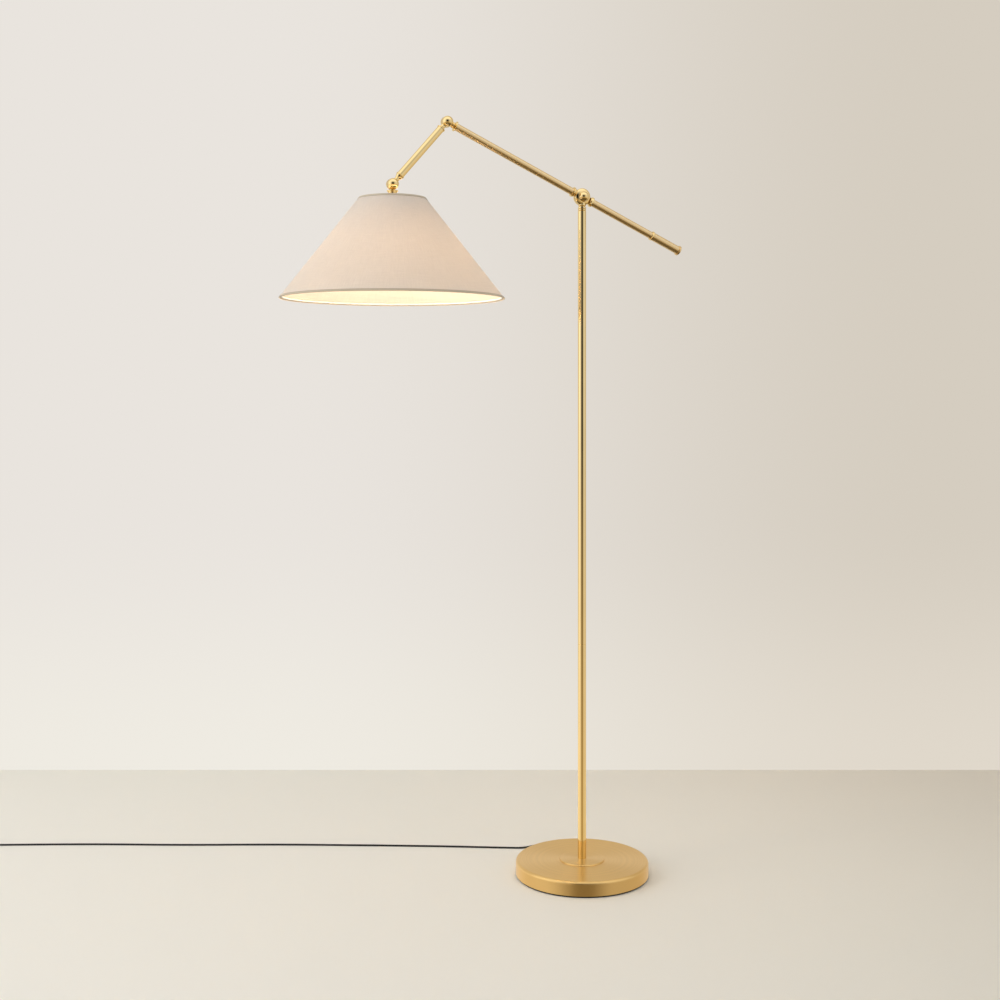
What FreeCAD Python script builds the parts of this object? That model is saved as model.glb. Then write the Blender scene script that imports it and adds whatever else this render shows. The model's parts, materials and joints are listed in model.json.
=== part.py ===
import FreeCAD, Part
import math
import os

# Bridge floor lamp, in millimetres, +Z up. The origin is on the floor, under the pole's axis.
# The arm lies in the XZ plane, its shade end towards -X, and every tilting joint turns about a
# line along Y. The "near" half of a joint is on its -Y side, the "far" half on its +Y side.

V = FreeCAD.Vector
UP = V(0, 0, 1)
HINGE = V(0, 1, 0)

# ---------------------------------------------------------------- driving dimensions

# Fits
play = 0.3               # between pieces that turn past each other
fit = 0.05               # radial, a shaft or spigot in its own hole
lay_gap = 0.3            # a wire or skin beside what carries it
soft_edge = 0.8          # chamfer on turned rims
flange_edge = 1.0        # how far a cove stops inside the rim of its flange
stem_clear = 1.0         # a knuckle's radius to where its stem starts to swell

# Base
base_radius = 127.0      # 10 inch disc
base_height = 29.5       # floor to the top of the cover
base_edge_round = 5.0
cover_wall = 2.0
pad_thickness = 3.0
pad_inset = 1.8          # how far the pad's edge is drawn in under the cover
weight_rim_width = 29.0  # the cast weight is thick at its rim and hollow underneath
weight_web = 14.5
nut_well_radius = 22.0
nut_well_web = 5.5
weight_slot_play = 1.0   # room round the gland's head in the weight's slot
foot_plate_radius = 43.0
foot_plate_thickness = 2.2
rod_radius = 5.0
rod_nut_height = 5.0
rod_nut_flats = 16.0
rod_washer_radius = 14.0
rod_washer_thickness = 1.5
rod_tail = 0.7           # rod showing below its nut
rod_in_pole = 14.0

# Pole
pole_radius = 8.0        # 5/8 inch tube
tube_wall = 1.2
pole_joint_height = 442.0  # floor to the joint between the pole's two tubes
pole_joint_chamfer = 0.4
pole_coupling_length = 44.0
pole_bush_height = 18.0
pole_cap_height = 9.6
pole_cap_groove = 0.7    # depth of the two turned grooves
pole_cap_spigot = 12.0
pivot_height = 1300.0    # floor to the axis that the arm tilts about
neck_reach = 19.4        # that axis down to the foot of the turning neck
neck_radius = 6.25
neck_flare_radius = 7.2
neck_flare_drop = 2.5    # edge of the hub back to where the flare starts
neck_flare_hollow = 0.8
neck_spigot_radius = 4.0
thrust_washer_thickness = 0.6
spring_washer_thickness = 1.0
spigot_nut_height = 4.0
spigot_nut_flats = 11.0
spigot_tail = 0.6

# Arm
arm_slope = 23.3         # degrees, shade end up
arm_reach = 306.0        # tilt axis to elbow axis
arm_radius = 7.0
grip_start = 171.5       # tilt axis to the grip, the other way
grip_end = 234.0
grip_radius = 8.0
grip_ring_radius = 9.2
grip_ring_width = 4.0
grip_cap_radius = 9.8
grip_cap_rim = 3.6
grip_cap_crown = 4.6
grip_cap_spigot = 14.0
tube_end_in_grip = 6.0   # the arm tube stops this far short of the grip's end

# Link between the elbow and the shade
link_slope = 48.7        # degrees, shade end down
link_length = 161.0

# Split knuckles
hub_radius = 16.5        # the one that carries the arm on the pole
hub_depth = 13.0
hub_skirt = 3.0
hub_shoulder_depth = 8.6  # the near half is lower and carries a round-topped boss
hub_boss_radius = 10.0
hub_boss_skirt = 9.0
hub_boss_depth = 17.0
ball_radius = 10.5       # the elbow and the shade's joint
ball_depth = 14.0
ball_skirt = 3.5
friction_disc = 0.8
disc_inset = 1.5
hub_stem_radius = 7.2
hub_stem_root = 7.8      # tilt axis to where a stem grows out of its dome
ball_stem_root = 5.6
hub_flange_radius = 9.8
hub_flange_at = 19.8
hub_flange_width = 3.2
hub_cove_hollow = 0.5
ball_neck_radius = 4.7
bead_radius = 6.0
bead_gap = 0.4           # on both sides of the bead
bead_land = 1.0          # how much longer the bead is than its two slopes
elbow_flange_radius = 9.8
elbow_flange_at = 16.5
link_collar_radius = 8.0
link_top_collar_at = 16.2
link_low_collar_at = 20.8
collar_width = 2.2
collar_edge = 0.6
collar_hollow = 0.35
spigot_length = 13.0
hub_screw_radius = 3.0
ball_screw_radius = 2.5
screw_head_share = 1.7   # radius of a screw's head to its shank's
screw_head_height = 2.6
screw_head_sink = 3.0    # crown of the dome down to the seat of the screw's head
screw_slot_width = 1.2
screw_slot_depth = 1.0
screw_bite = 8.0         # how deep the screw goes into the near half
lead_stop = 8.0          # the wireway in a stem ends this far from the tilt axis

# Socket and bulb, measured down from the shade joint's axis
head_collar_radius = 10.2
head_collar_top = 11.2
head_collar_width = 3.0
head_stem_radius = 8.2
head_stem_end = 16.6
head_nipple_radius = 5.0
head_nipple_end = 23.5
cap_nut_height = 4.0
cap_nut_flats = 12.6
socket_cap_radius = 18.0
socket_cap_height = 21.0
socket_cap_wall = 1.0
socket_cap_shoulder = 12.0
socket_cap_bulge = 3.4
shell_radius = 16.9
shell_wall = 0.8
shell_top = 30.5
shell_shoulder = 60.0
shell_sleeve_radius = 16.2
shell_mouth = 86.0
core_radius = 13.9
core_top = 34.0
core_bottom = 50.0
core_flange = 2.0
screw_shell_wall = 0.6
screw_shell_mouth = 77.0
screw_shell_lap = 3.0    # how far it reaches back over the switch body
liner_wall = 0.7
liner_short = 1.0        # it stops this far inside what it lines
bulb_cap_radius = 13.0
bulb_cap_step = 2.2
contact_radius = 4.8
contact_height = 0.8
bulb_tip = 50.8          # the bulb's contact
bulb_neck = 77.5         # where its glass begins
bulb_neck_radius = 13.6
bulb_neck_length = 9.0
bulb_wall = 1.0
bulb_radius = 30.0
bulb_length = 108.0
bulb_lean = 28.0         # degrees that the ball's arc reaches past its middle, each way
bulb_waist = 1.8         # how far the side is drawn in between neck and ball
knob_level = 44.0
knob_shaft_radius = 2.0
knob_radius = 5.5
knob_start = 20.0
knob_end = 32.0
knob_edge_round = 1.2
knob_flat_share = 0.6
knob_flat_start = 3.0

# Shade
shade_drop = 25.0        # shade joint's axis to the top of the shade
shade_height = 181.0
shade_top_radius = 60.0
shade_rim_radius = 202.0 # 16 inch shade
skin_thickness = 1.0
hem_height = 4.0
hem_extra = 0.7
ring_wire_radius = 1.5
wire_tuck = 0.5          # the shade's edge to the wire inside it
spoke_count = 3
spoke_radius = 1.6
fitter_radius = 22.5
fitter_thickness = 2.0
fitter_play = 0.2        # radial, so that the ring slips over the socket
fitter_nut_radius = 20.5
fitter_nut_height = 6.0

# Cord
cord_diameter = 3.6
gland_height = 9.0       # floor to the middle of the cord's exit
gland_length = 26.0      # outside the base
gland_root_radius = 5.0
gland_tip_radius = 2.6
gland_neck_radius = 4.0
gland_head_radius = 6.0
gland_head = 2.0         # inside the base's wall
gland_ribs = 4
gland_rib_share = 0.6    # of the ribs' pitch
gland_rib_depth = 0.6
gland_straight = 12.0    # the cord runs on straight this far past the gland
cord_heading = 155.0     # degrees from +X, the way the cord runs off over the floor
lead_bend_radius = 6.5
corner_share = 0.45      # of the shorter run that a bend in the route takes up
coil_inner_radius = 12.2
coil_tuck = 0.6          # the climbing turn lies this much further in
coil_gap = 0.56          # between neighbouring turns
coil_half_turns_in = 9
coil_half_turns_out = 8
coil_lead = 1218.0       # the coil's start, along the heading from the pole
coil_aside = 168.0
plug_axis_height = 8.0
plug_gap = 46.0          # the coil's end to the plug
plug_width = 24.0
plug_height = 15.6
plug_length = 26.0
plug_grip_length = 15.0
plug_boot_length = 20.0
plug_boot_radius = 4.2
plug_boot_lip = 0.9      # wall of the boot where the cord comes in
plug_neck_width = 11.0
plug_neck_height = 9.6
plug_round = 3.0
blade_length = 16.0
blade_height = 6.4
blade_width = 1.6
blade_pitch = 12.7

# ---------------------------------------------------------------- places that follow

cord_radius = cord_diameter / 2
wireway_radius = cord_radius + lay_gap
pole_bore = pole_radius - tube_wall
arm_bore = arm_radius - tube_wall
weight_bottom = pad_thickness
weight_top = base_height - cover_wall
well_top = weight_top - nut_well_web
rod_nut_top = well_top - rod_washer_thickness
rod_bottom = rod_nut_top - rod_nut_height - rod_tail
pole_foot = base_height + foot_plate_thickness
neck_foot = pivot_height - neck_reach
cap_top = neck_foot - thrust_washer_thickness
pole_top = cap_top - pole_cap_height
cap_bottom = pole_top - pole_cap_spigot
spigot_nut_top = cap_bottom - spring_washer_thickness
spigot_bottom = spigot_nut_top - spigot_nut_height - spigot_tail

pivot = V(0, 0, pivot_height)
arm_angle = math.radians(arm_slope)
arm_line = V(-math.cos(arm_angle), 0, math.sin(arm_angle))
link_angle = math.radians(link_slope)
link_line = V(-math.cos(link_angle), 0, -math.sin(link_angle))
elbow = pivot + arm_line * arm_reach
shade_joint = elbow + link_line * link_length

# Turns about +Y that bring +Z to each line
TO_ELBOW = arm_slope - 90
TO_GRIP = arm_slope + 90
DOWN_LINK = -90 - link_slope
UP_LINK = 90 - link_slope
DOWN = 180

hub_tube_start = hub_flange_at + hub_flange_width
elbow_tube_end = elbow_flange_at + collar_width
link_tube_start = link_top_collar_at + collar_width
link_tube_end = link_low_collar_at + collar_width


# ---------------------------------------------------------------- ways of making

def outline(*steps):
    """A closed flat face in the XZ plane. A step is a corner, or a pair (through, end) for an arc."""
    here = V(steps[0][0], 0, steps[0][1])
    start = here
    edges = []
    for step in steps[1:]:
        if isinstance(step[0], tuple):
            through = V(step[0][0], 0, step[0][1])
            end = V(step[1][0], 0, step[1][1])
            edges.append(Part.Arc(here, through, end).toShape())
        else:
            end = V(step[0], 0, step[1])
            edges.append(Part.LineSegment(here, end).toShape())
        here = end
    edges.append(Part.LineSegment(here, start).toShape())
    return Part.Face(Part.Wire(edges))


def turned(*steps):
    """An outline (radius, height) turned about the Z axis."""
    return outline(*steps).revolve(V(), UP, 360)


def bulge(start, end, height):
    """The point that an arc from start to end passes through, height to the left of its chord."""
    run, rise = end[0] - start[0], end[1] - start[1]
    chord = math.hypot(run, rise)
    middle = (start[0] + end[0]) / 2, (start[1] + end[1]) / 2
    return middle[0] - rise / chord * height, middle[1] + run / chord * height


def crowned(radius, low, high):
    """The point that a round crown passes through between its edge and its middle."""
    rise = high - low
    sphere = (radius ** 2 + rise ** 2) / (2 * rise)
    half = math.asin(radius / sphere) / 2
    return sphere * math.sin(half), high - sphere * (1 - math.cos(half))


def rod(radius, low, high):
    return Part.makeCylinder(radius, high - low, V(0, 0, low))


def ring(outer, inner, low, high):
    return rod(outer, low, high).cut(rod(inner, low, high))


def hexagon(flats, bore, low, high):
    corner = flats / 2 / math.cos(math.radians(30))
    points = [V(corner * math.cos(math.radians(60 * i)), corner * math.sin(math.radians(60 * i)), low)
              for i in range(6)]
    prism = Part.Face(Part.makePolygon(points + points[:1])).extrude(V(0, 0, high - low))
    return prism.cut(rod(bore, low, high))


def across(radius, low, high):
    """A round bar along the hinge line, from y = low to y = high."""
    return Part.makeCylinder(radius, high - low, V(0, low, 0), HINGE)


def put(shape, place, turn=0):
    """Turn a shape about the hinge line, by degrees that bring +Z to its direction, and place it."""
    placed = shape.copy()
    placed.Placement = FreeCAD.Placement(place, FreeCAD.Rotation(HINGE, turn)).multiply(shape.Placement)
    return placed


def near(shape):
    """The same shape on the -Y side."""
    placed = shape.copy()
    placed.Placement = FreeCAD.Placement(V(), FreeCAD.Rotation(UP, 180))
    return placed


def save(name, shape):
    solids = shape.Solids
    whole = solids[0] if len(solids) == 1 else Part.makeCompound(solids)
    whole.exportStep(os.path.join("parts", name + ".step"))
    print("%-22s %d solid(s) %12.1f mm3" % (name, len(solids), whole.Volume))


# ---------------------------------------------------------------- base

def base_cover():
    """Spun disc, open below, with a rounded upper edge and a hole for the rod."""
    top = base_height
    inner_edge = base_edge_round - cover_wall
    outer = Part.makeCylinder(base_radius, top - pad_thickness, V(0, 0, pad_thickness))
    upper = [e for e in outer.Edges if abs(e.BoundBox.ZMin - top) < fit and abs(e.BoundBox.ZMax - top) < fit]
    outer = outer.makeFillet(base_edge_round, upper)
    hollow = rod(base_radius - cover_wall, 0, weight_top)
    lid = [e for e in hollow.Edges if abs(e.BoundBox.ZMin - weight_top) < fit]
    hollow = hollow.makeFillet(inner_edge, lid)
    exit_hole = Part.makeCylinder(gland_neck_radius + fit, base_radius, V(0, 0, gland_height), HINGE)
    return outer.cut(hollow).cut(rod(rod_radius + fit, 0, top)).cut(exit_hole)


def base_weight():
    """Cast iron, thick at the rim, with a well for the nut and a slot for the cord."""
    outer = base_radius - cover_wall - lay_gap
    chamfer = base_edge_round - cover_wall
    solid = turned(
        (rod_radius + fit, well_top), (nut_well_radius, well_top),
        (nut_well_radius, weight_top - weight_web), (outer - weight_rim_width, weight_top - weight_web),
        (outer - weight_rim_width, weight_bottom), (outer, weight_bottom),
        (outer, weight_top - chamfer), (outer - chamfer, weight_top), (rod_radius + fit, weight_top))
    slot_width = 2 * gland_head_radius + weight_slot_play
    slot_top = gland_height + gland_head_radius + weight_slot_play
    slot = Part.makeBox(slot_width, base_radius, slot_top, V(-slot_width / 2, 0, 0))
    return solid.cut(slot.cut(rod(nut_well_radius, 0, slot_top)))


def base_pad():
    """Round pad that the lamp stands on, with a soft lower edge."""
    outer = base_radius - pad_inset
    edge = pad_thickness / 4
    return turned((0, 0), (outer - edge, 0), (outer, edge), (outer, pad_thickness), (0, pad_thickness))


def foot_plate():
    """Low round plate that covers the foot of the pole, with a rolled edge."""
    low, high = base_height, pole_foot
    start = (foot_plate_radius, low)
    end = (foot_plate_radius - foot_plate_thickness, high)
    through = bulge(start, end, -foot_plate_thickness * (1 - math.sqrt(0.5)))
    return turned((rod_radius + fit, low), start, (through, end), (rod_radius + fit, high))


def base_rod():
    """Hollow threaded rod that ties the weight, the cover and the pole together."""
    return ring(rod_radius, wireway_radius, rod_bottom, pole_foot + rod_in_pole)


def pole_foot_bush():
    """Threaded plug in the foot of the pole."""
    return ring(pole_bore - fit, rod_radius + fit, pole_foot, pole_foot + pole_bush_height)


def cord_gland():
    """Tapered strain relief: a head inside the wall, a neck through it and a ribbed tail."""
    inside = base_radius - cover_wall - gland_head - lay_gap
    wall_in = base_radius - cover_wall - lay_gap
    wall_out = base_radius + lay_gap
    tip = base_radius + gland_length
    steps = [(cord_radius + fit, inside), (gland_head_radius, inside), (gland_head_radius, wall_in),
             (gland_neck_radius, wall_in), (gland_neck_radius, wall_out), (gland_root_radius, wall_out)]
    pitch = (tip - wall_out) / (gland_ribs + 1 - gland_rib_share)
    for i in range(gland_ribs):
        rib_end = wall_out + pitch * (i + gland_rib_share)
        gap_end = wall_out + pitch * (i + 1)
        taper = (rib_end - wall_out) / (tip - wall_out)
        here = gland_root_radius + (gland_tip_radius - gland_root_radius) * taper
        low = here - gland_rib_depth
        steps += [(here, rib_end), (low, rib_end), (low, gap_end), (here, gap_end)]
    steps += [(gland_tip_radius, tip), (cord_radius + fit, tip)]
    body = turned(*steps)
    body.Placement = FreeCAD.Placement(V(0, 0, gland_height), FreeCAD.Rotation(V(1, 0, 0), -90))
    return body


def inner_lead():
    """The cord inside: in through the gland, one bend, and straight up the rod and the pole."""
    start = V(0, base_radius + gland_length, gland_height)
    bend_in = V(0, lead_bend_radius, gland_height)
    bend_out = V(0, 0, gland_height + lead_bend_radius)
    middle = V(0, lead_bend_radius * (1 - math.sin(math.radians(45))),
               gland_height + lead_bend_radius * (1 - math.cos(math.radians(45))))
    end = V(0, 0, spigot_bottom - lay_gap)
    path = Part.Wire([Part.LineSegment(start, bend_in).toShape(),
                      Part.Arc(bend_in, middle, bend_out).toShape(),
                      Part.LineSegment(bend_out, end).toShape()])
    return swept(path, start, V(0, -1, 0))


# ---------------------------------------------------------------- pole and turning neck

def pole_section(foot, joint):
    """One of the pole's two tubes, from its plain end to the chamfered end at the joint."""
    edge = joint + math.copysign(pole_joint_chamfer, foot - joint)
    steps = [(pole_bore, foot), (pole_radius, foot), (pole_radius, edge),
             (pole_radius - pole_joint_chamfer, joint), (pole_bore, joint)]
    return turned(*(steps if joint > foot else steps[::-1]))


def pole_coupling():
    """Threaded plug that joins the two tubes from inside."""
    half = pole_coupling_length / 2
    return ring(pole_bore - fit, wireway_radius, pole_joint_height - half, pole_joint_height + half)


def pole_cap():
    """Collar with two turned grooves, plugged into the pole: the neck turns in its bore."""
    third = pole_cap_height / 3
    groove = third / 4
    inner = neck_spigot_radius + fit
    low_r = pole_radius - pole_cap_groove
    return turned(
        (inner, cap_bottom), (pole_bore - fit, cap_bottom), (pole_bore - fit, pole_top),
        (pole_radius, pole_top), (pole_radius, pole_top + third - groove), (low_r, pole_top + third),
        (pole_radius, pole_top + third + groove), (pole_radius, pole_top + 2 * third - groove),
        (low_r, pole_top + 2 * third), (pole_radius, pole_top + 2 * third + groove),
        (pole_radius, cap_top), (inner, cap_top))


def arch(radius, depth, skirt, inner):
    """Round outline of a dome, from the top of its skirt in to a smaller radius."""
    oval = Part.Ellipse(V(0, skirt, 0), radius, depth - skirt)
    return Part.ArcOfEllipse(oval, 0, math.acos(inner / radius))


def dome(arches, bore, inside):
    """One half of a split knuckle on the +Y side, with a flat mating face and one arch or two.

    A second arch makes a smaller boss on top of the first. The inside is the outline from the
    crown to the screw's bore.
    """
    face = friction_disc / 2
    corners = [arches[-1].EndPoint] + inside + [V(bore, face, 0), V(arches[0].StartPoint.x, face, 0),
                                                arches[0].StartPoint]
    edges = [Part.LineSegment(here, there).toShape() for here, there in zip(corners, corners[1:])]
    edges.append(arches[0].toShape())
    for below, above in zip(arches, arches[1:]):
        edges += [Part.LineSegment(below.EndPoint, above.StartPoint).toShape(), above.toShape()]
    return Part.Face(Part.Wire(edges)).revolve(V(), HINGE, 360)


def headed_dome(radius, depth, skirt, screw_radius):
    """Half with a recess in its crown for the screw's head."""
    recess = screw_head_radius(screw_radius) + fit
    seat = depth - screw_head_sink
    bore = screw_radius + fit
    return dome([arch(radius, depth, skirt, recess)], bore, [V(recess, seat, 0), V(bore, seat, 0)])


def blind_dome(arches, screw_radius):
    """Half with a whole crown over the end of the screw."""
    bore = screw_radius + fit
    floor = screw_bite + fit
    return dome(arches, bore, [V(0, floor, 0), V(bore, floor, 0)])


def with_stem(half, radius, depth, stem):
    """A dome with its stem along +Z. The stem is cut away where the other half turns."""
    return half.fuse(stem.cut(across(radius + play, -depth - play, friction_disc / 2)))


def hub_half(is_near, stem):
    """Half of the hub. The near one is a low shoulder with a round-topped boss on it."""
    if is_near:
        shoulder = arch(hub_radius, hub_shoulder_depth, hub_skirt, hub_boss_radius)
        rim, top = V(hub_boss_radius, hub_boss_skirt, 0), V(0, hub_boss_depth, 0)
        boss = Part.Arc(rim, V(*crowned(hub_boss_radius, hub_boss_skirt, hub_boss_depth), 0), top)
        half = blind_dome([shoulder, boss], hub_screw_radius)
    else:
        half = headed_dome(hub_radius, hub_depth, hub_skirt, hub_screw_radius)
    return with_stem(half, hub_radius, hub_depth, stem)


def ball_half(is_near, stem):
    """Half of one of the two joints of the link."""
    if is_near:
        half = blind_dome([arch(ball_radius, ball_depth, ball_skirt, 0)], ball_screw_radius)
    else:
        half = headed_dome(ball_radius, ball_depth, ball_skirt, ball_screw_radius)
    return with_stem(half, ball_radius, ball_depth, stem)


def screw_head_radius(screw_radius):
    return screw_radius * screw_head_share


def knuckle_screw(radius, depth):
    """Slotted screw: its head in the far half, its end in the near half."""
    seat = depth - screw_head_sink
    crown = seat + screw_head_height
    head = across(screw_head_radius(radius), seat, crown)
    shank = across(radius, -screw_bite, seat)
    slot = Part.makeBox(screw_slot_width, screw_slot_depth, 4 * radius,
                        V(-screw_slot_width / 2, crown - screw_slot_depth, -2 * radius))
    return head.fuse(shank).cut(slot)


def friction_washer(radius, screw_radius):
    """Thin disc between the two halves."""
    face = friction_disc / 2
    return across(radius - disc_inset, -face, face).cut(across(screw_radius + fit, -face, face))


def wireway(end):
    return rod(wireway_radius, lead_stop, end)


def hub_stem():
    """Short thick stem, its flange and the spigot that the arm tube fits on."""
    end = hub_tube_start + spigot_length
    cove_start = (hub_stem_radius, hub_radius + stem_clear)
    cove_end = (hub_flange_radius - flange_edge, hub_flange_at)
    body = turned(
        (0, hub_stem_root), (hub_stem_radius, hub_stem_root), cove_start,
        (bulge(cove_start, cove_end, -hub_cove_hollow), cove_end),
        (hub_flange_radius, hub_flange_at + flange_edge), (hub_flange_radius, hub_tube_start),
        (arm_bore - fit, hub_tube_start), (arm_bore - fit, end), (0, end))
    return body.cut(wireway(end))


def ball_stem(collar_at, collar_radius, bead):
    """Thin neck, with or without a bead, then a coved collar and the spigot that a tube fits on."""
    start = collar_at + collar_width
    end = start + spigot_length
    bead_low = ball_radius + bead_gap
    bead_high = bead_low + 2 * (bead_radius - ball_neck_radius) + bead_land
    root = ball_stem_root
    steps = [(0, root), (ball_neck_radius, root), (ball_neck_radius, bead_low)]
    if bead:
        top = (ball_neck_radius, bead_high)
        steps.append(((bead_radius, (bead_low + bead_high) / 2), top))
    flare_from = (ball_neck_radius, bead_high + bead_gap)
    flare_to = (collar_radius - flange_edge, collar_at)
    steps += [flare_from, (bulge(flare_from, flare_to, -collar_hollow), flare_to),
              (collar_radius, collar_at + collar_edge),
              (collar_radius, start), (arm_bore - fit, start), (arm_bore - fit, end), (0, end)]
    return turned(*steps).cut(wireway(end))


def head_stem():
    """Stout stem with a collar under the shade's joint, and the nipple that the socket hangs on."""
    collar_end = head_collar_top + head_collar_width
    rim = head_collar_radius - soft_edge
    body = turned(
        (0, ball_stem_root), (ball_neck_radius, ball_stem_root), (ball_neck_radius, head_collar_top),
        (rim, head_collar_top), (head_collar_radius, head_collar_top + soft_edge),
        (head_collar_radius, collar_end - soft_edge), (rim, collar_end),
        (head_stem_radius, collar_end), (head_stem_radius, head_stem_end),
        (head_nipple_radius, head_stem_end),
        (head_nipple_radius, head_nipple_end), (0, head_nipple_end))
    return body.cut(wireway(head_nipple_end))


def neck_stem():
    """Stem of the turning neck, drawn towards the pole: a flare under the hub, then its long spigot."""
    flare_start = hub_radius - neck_flare_drop
    foot = neck_reach
    end = pivot_height - spigot_bottom
    flare_end = neck_reach - stem_clear
    cove = bulge((neck_flare_radius, flare_start), (neck_radius, flare_end), -neck_flare_hollow)
    body = turned(
        (0, hub_stem_root), (neck_flare_radius, hub_stem_root), (neck_flare_radius, flare_start),
        (cove, (neck_radius, flare_end)),
        (neck_radius, foot), (neck_spigot_radius, foot), (neck_spigot_radius, end), (0, end))
    return body.cut(wireway(end))


# ---------------------------------------------------------------- socket, bulb and shade

def socket_cap():
    """Brass cap with a rounded shoulder, drawn downwards from the shade's joint."""
    low, high = head_stem_end, head_stem_end + socket_cap_height
    wall = socket_cap_wall
    crown = head_stem_radius
    side = low + socket_cap_shoulder
    shoulder = bulge((crown, low), (socket_cap_radius, side), -socket_cap_bulge)
    inner = bulge((crown - wall, low + wall), (socket_cap_radius - wall, side), -socket_cap_bulge)
    hole = head_nipple_radius + fit
    return turned(
        (hole, low), (crown, low), (shoulder, (socket_cap_radius, side)), (socket_cap_radius, high),
        (socket_cap_radius - wall, high), (socket_cap_radius - wall, side),
        (inner, (crown - wall, low + wall)), (hole, low + wall))


def socket_shell():
    """Brass shell with a shoulder and the sleeve that the shade's ring is held on."""
    wall = shell_wall
    body = turned(
        (shell_radius, shell_top), (shell_radius, shell_shoulder), (shell_sleeve_radius, shell_shoulder),
        (shell_sleeve_radius, shell_mouth), (shell_sleeve_radius - wall, shell_mouth),
        (shell_sleeve_radius - wall, shell_shoulder - wall), (shell_radius - wall, shell_shoulder - wall),
        (shell_radius - wall, shell_top))
    hole = Part.makeCylinder(knob_shaft_radius + fit, shell_radius + 1, V(0, 0, knob_level), V(1, 0, 0))
    return body.cut(hole)


def socket_core():
    """Switch body, held by its flange in the shell."""
    flange = shell_radius - shell_wall - fit
    body = turned(
        (0, core_top), (flange, core_top), (flange, core_top + core_flange),
        (core_radius - screw_shell_wall, core_top + core_flange),
        (core_radius - screw_shell_wall, core_bottom), (0, core_bottom))
    shaft = Part.makeCylinder(knob_shaft_radius + fit, core_radius,
                              V(core_radius / 2, 0, knob_level), V(1, 0, 0))
    return body.cut(shaft)


def screw_shell():
    """Thin cup that the bulb screws into, pressed over the foot of the switch body."""
    outer = core_radius
    inner = core_radius - screw_shell_wall + fit
    return ring(outer, inner, core_bottom - screw_shell_lap, screw_shell_mouth)


def socket_liner():
    """Insulating sleeve between the screw shell and the brass shell."""
    outer = shell_sleeve_radius - shell_wall - fit
    return ring(outer, outer - liner_wall, core_bottom + liner_short, shell_mouth - liner_short)


def bulb_cap():
    """Metal screw cap of the bulb, with its contact."""
    low, high, step = bulb_tip, bulb_neck, bulb_cap_step
    return turned(
        (0, low), (contact_radius, low), (contact_radius, low + contact_height),
        (bulb_cap_radius - step, low + step), (bulb_cap_radius, low + 2 * step),
        (bulb_cap_radius, high), (0, high))


def bulb_glass():
    """Pear-shaped glass bulb, blown hollow and open at its neck."""
    return bulb_form(0).cut(bulb_form(bulb_wall))


def bulb_form(inset):
    """The bulb's outline, or the hollow inside it, drawn in by inset."""
    centre = bulb_tip + bulb_length - bulb_radius
    lean = math.radians(bulb_lean)
    radius = bulb_radius - inset
    neck = bulb_neck_radius - inset
    waist = (neck, bulb_neck + bulb_neck_length)
    side = (radius * math.cos(lean), centre - radius * math.sin(lean))
    belly = (radius * math.cos(lean), centre + radius * math.sin(lean))
    return turned(
        (0, bulb_neck), (neck, bulb_neck), waist, (bulge(waist, side, bulb_waist), side),
        ((radius, centre), belly),
        ((radius * math.sin(lean), centre + radius * math.cos(lean)), (0, centre + radius)))


def switch_knob():
    """Small turning knob with two flats, on its shaft, along +X."""
    shaft = Part.makeCylinder(knob_shaft_radius, knob_start - core_radius / 2 - fit,
                              V(core_radius / 2 + fit, 0, knob_level), V(1, 0, 0))
    grip = Part.makeCylinder(knob_radius, knob_end - knob_start, V(knob_start, 0, knob_level), V(1, 0, 0))
    outer = [edge for edge in grip.Edges if edge.BoundBox.XMin > knob_end - fit]
    grip = grip.makeFillet(knob_edge_round, outer)
    flat = knob_radius * knob_flat_share
    for side in (-1, 1):
        away = Part.makeBox(knob_end, 2 * knob_radius, 2 * knob_radius,
                            V(knob_start + knob_flat_start, side * (flat + knob_radius) - knob_radius,
                              knob_level - knob_radius))
        grip = grip.cut(away)
    return shaft.fuse(grip)


def shade_radius_at(level):
    """Outer radius of the shade, level below the joint's axis."""
    share = (level - shade_drop) / shade_height
    return shade_top_radius + (shade_rim_radius - shade_top_radius) * share


def shade_skin():
    """Stiffened linen cone, thicker along its two hems."""
    low, high = shade_drop, shade_drop + shade_height
    r = shade_radius_at
    t = skin_thickness
    e = hem_extra
    return turned(
        (r(low) - t, low), (r(low) + e, low), (r(low + hem_height) + e, low + hem_height),
        (r(low + hem_height + e), low + hem_height + e), (r(high - hem_height - e), high - hem_height - e),
        (r(high - hem_height) + e, high - hem_height), (r(high) + e, high), (r(high) - t, high))


def wire_ring_radius(level):
    """Radius to the middle of a wire that lies just inside the skin."""
    lean = math.atan2(shade_rim_radius - shade_top_radius, shade_height)
    inside = (skin_thickness * math.cos(lean) + lay_gap + ring_wire_radius) / math.cos(lean)
    return shade_radius_at(level) - inside


def wire_ring(level):
    return Part.makeTorus(wire_ring_radius(level), ring_wire_radius, V(0, 0, level))


def shade_frame():
    """Ring that slips over the socket, three spokes, and the top wire, welded into one frame."""
    top = shade_drop + ring_wire_radius + wire_tuck
    hoop = wire_ring(top)
    plate_low = shell_shoulder
    plate = ring(fitter_radius, shell_sleeve_radius + fitter_play, plate_low, plate_low + fitter_thickness)
    frame = plate.fuse(hoop)
    spoke_foot = V(fitter_radius - spoke_radius, 0, plate_low)
    spoke_head = V(wire_ring_radius(top) - spoke_radius / 2, 0, top)
    run = spoke_head - spoke_foot
    for i in range(spoke_count):
        spoke = Part.makeCylinder(spoke_radius, run.Length, spoke_foot, run)
        spoke.rotate(V(), UP, 360 / spoke_count * (i + 0.5))
        frame = frame.fuse(spoke)
    return frame


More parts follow.
